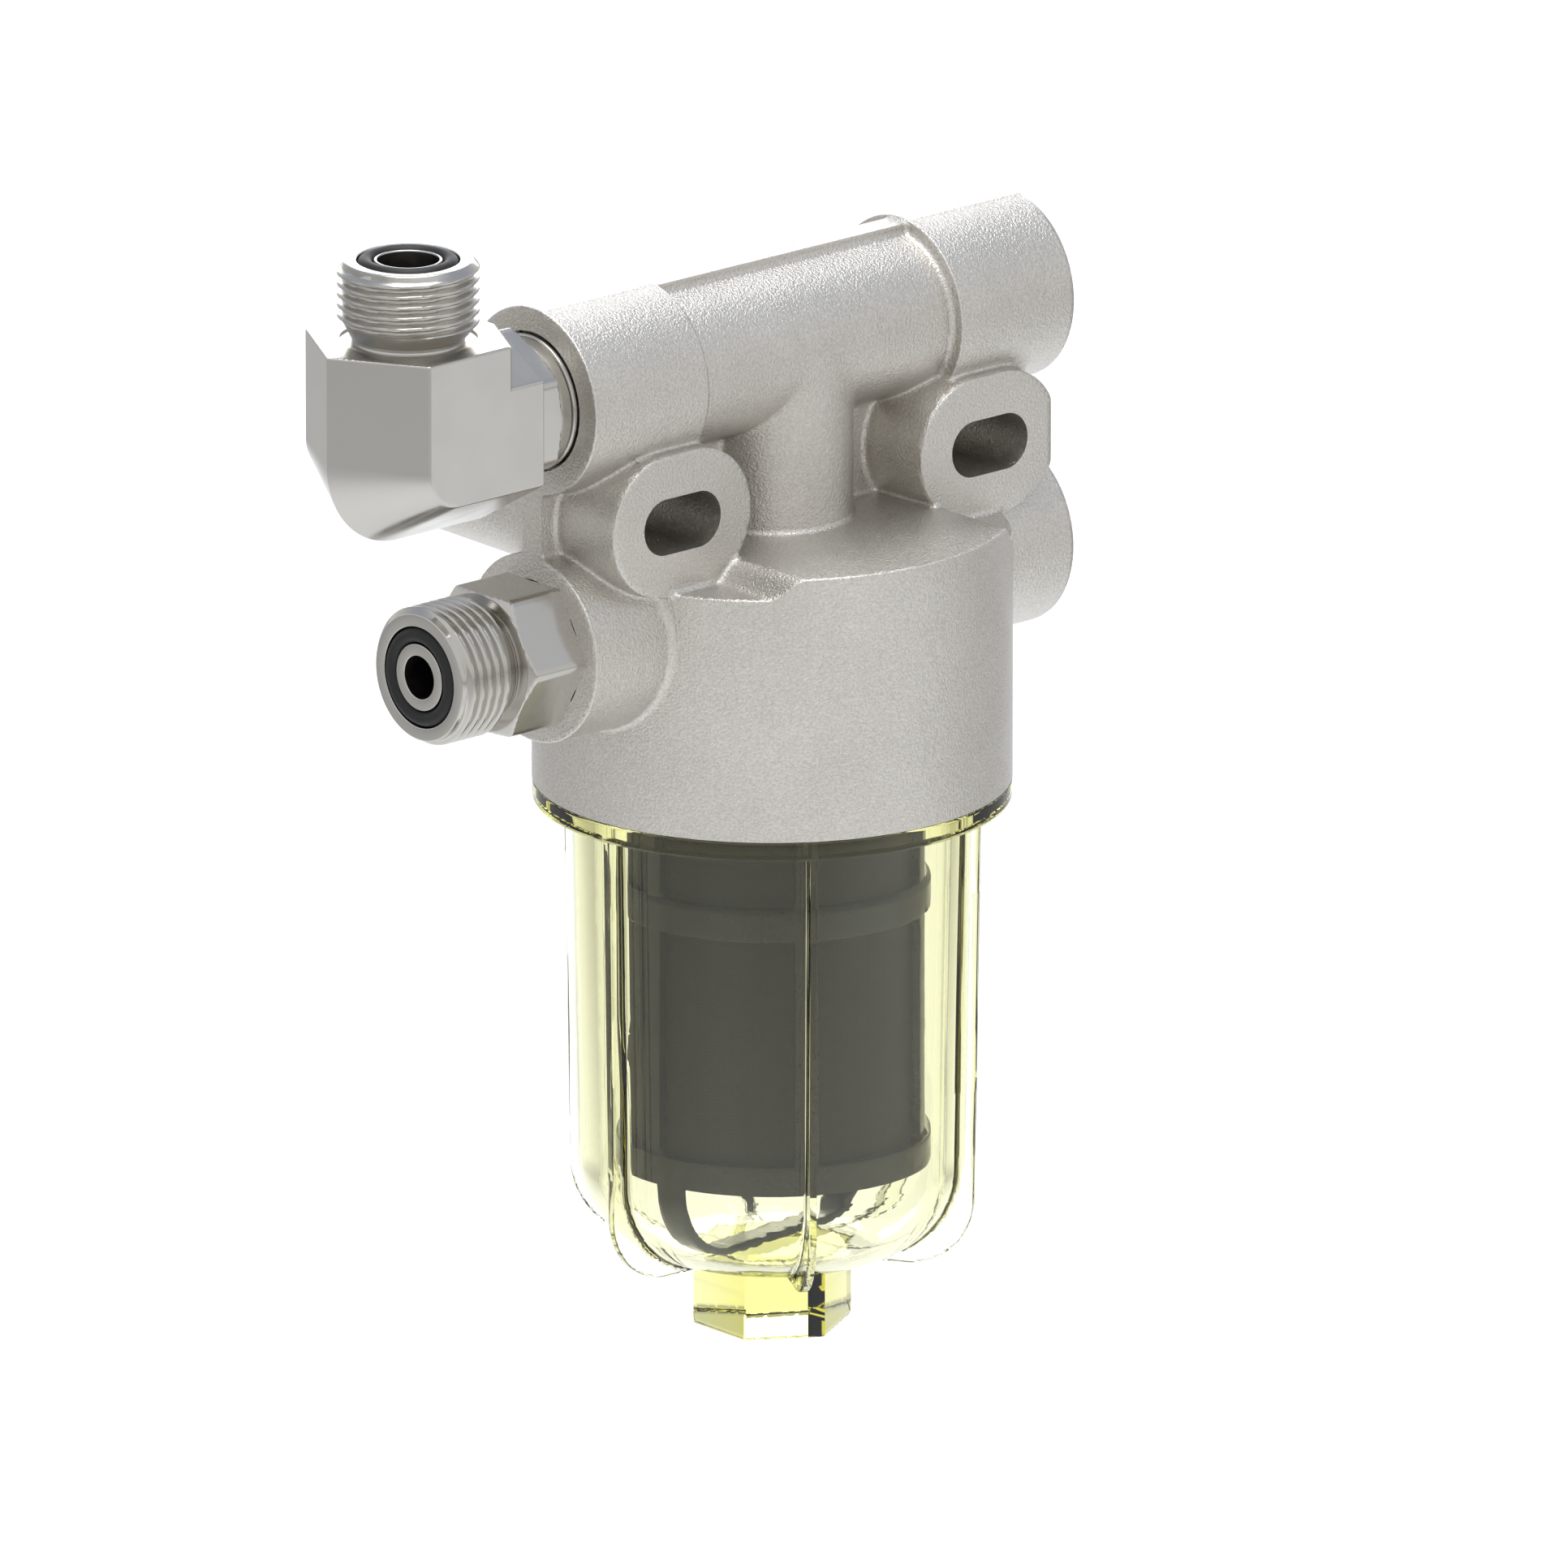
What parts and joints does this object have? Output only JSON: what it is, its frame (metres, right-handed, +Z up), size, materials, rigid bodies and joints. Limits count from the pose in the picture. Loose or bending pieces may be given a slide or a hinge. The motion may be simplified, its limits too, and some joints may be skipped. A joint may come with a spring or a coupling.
{
  "type": "fuel prefilter",
  "caption": "Fuel prefilter with a cast four-port head, slotted mounting bosses, a clear screw-on bowl, a strainer element and flat-faced hose fittings.",
  "frame": {"origin": "on the bowl's axis, level with the centres of the two mounting slots, in the middle plane of the web", "axes": "+X along the ports towards the plugged ends, +Y towards the rear mounting faces, +Z up along the bowl's axis"},
  "size_m": [0.1342, 0.0715, 0.1751],
  "materials": {
    "cast_aluminium": "fine sand-cast, peened",
    "fitting_steel": "turned, zinc-plated, bright",
    "clear_plastic": "clear yellow moulding",
    "cage_plastic": "dark grey moulding",
    "mesh_fabric": "fine woven nylon mesh",
    "seal_rubber": "black nitrile rubber"
  },
  "bodies": {
    "head": {"filter_head": "cast_aluminium", "element_spigot": "fitting_steel", "element_cage": "cage_plastic", "element_mesh": "mesh_fabric", "element_end_cap": "cage_plastic", "element_seal": "seal_rubber", "adapter": "fitting_steel", "adapter_port_seal": "seal_rubber", "adapter_face_seal": "seal_rubber", "upper_plug": "fitting_steel", "upper_plug_seal": "seal_rubber", "lower_plug": "fitting_steel", "lower_plug_seal": "seal_rubber"},
    "elbow_fitting": {"elbow": "fitting_steel", "elbow_locknut": "fitting_steel", "elbow_washer": "fitting_steel", "elbow_port_seal": "seal_rubber", "elbow_face_seal": "seal_rubber"},
    "bowl_ring": {"bowl_seal": "seal_rubber"},
    "bowl_cup": {"bowl": "clear_plastic"}
  },
  "joints": [
    {"name": "elbow_swivel", "type": "hinge", "parent": "head", "child": "elbow_fitting", "pos_m": [-0.0704, 0, 0.01865], "axis": [1, 0, 0], "range_deg": [-90, 90]},
    {"name": "bowl_drop", "type": "slide", "parent": "head", "child": "bowl_ring", "axis": [0, 0, -1], "range_m": [0, 0.00901]},
    {"name": "bowl_turn", "type": "hinge", "parent": "bowl_ring", "child": "bowl_cup", "pos_m": [0, 0, -0.05], "axis": [0, 0, -1], "range_deg": [0, 1080]}
  ],
  "couplings": [
    {"joint": "bowl_drop", "follows": "bowl_turn", "m_per_rad": 0.00047746}
  ]
}
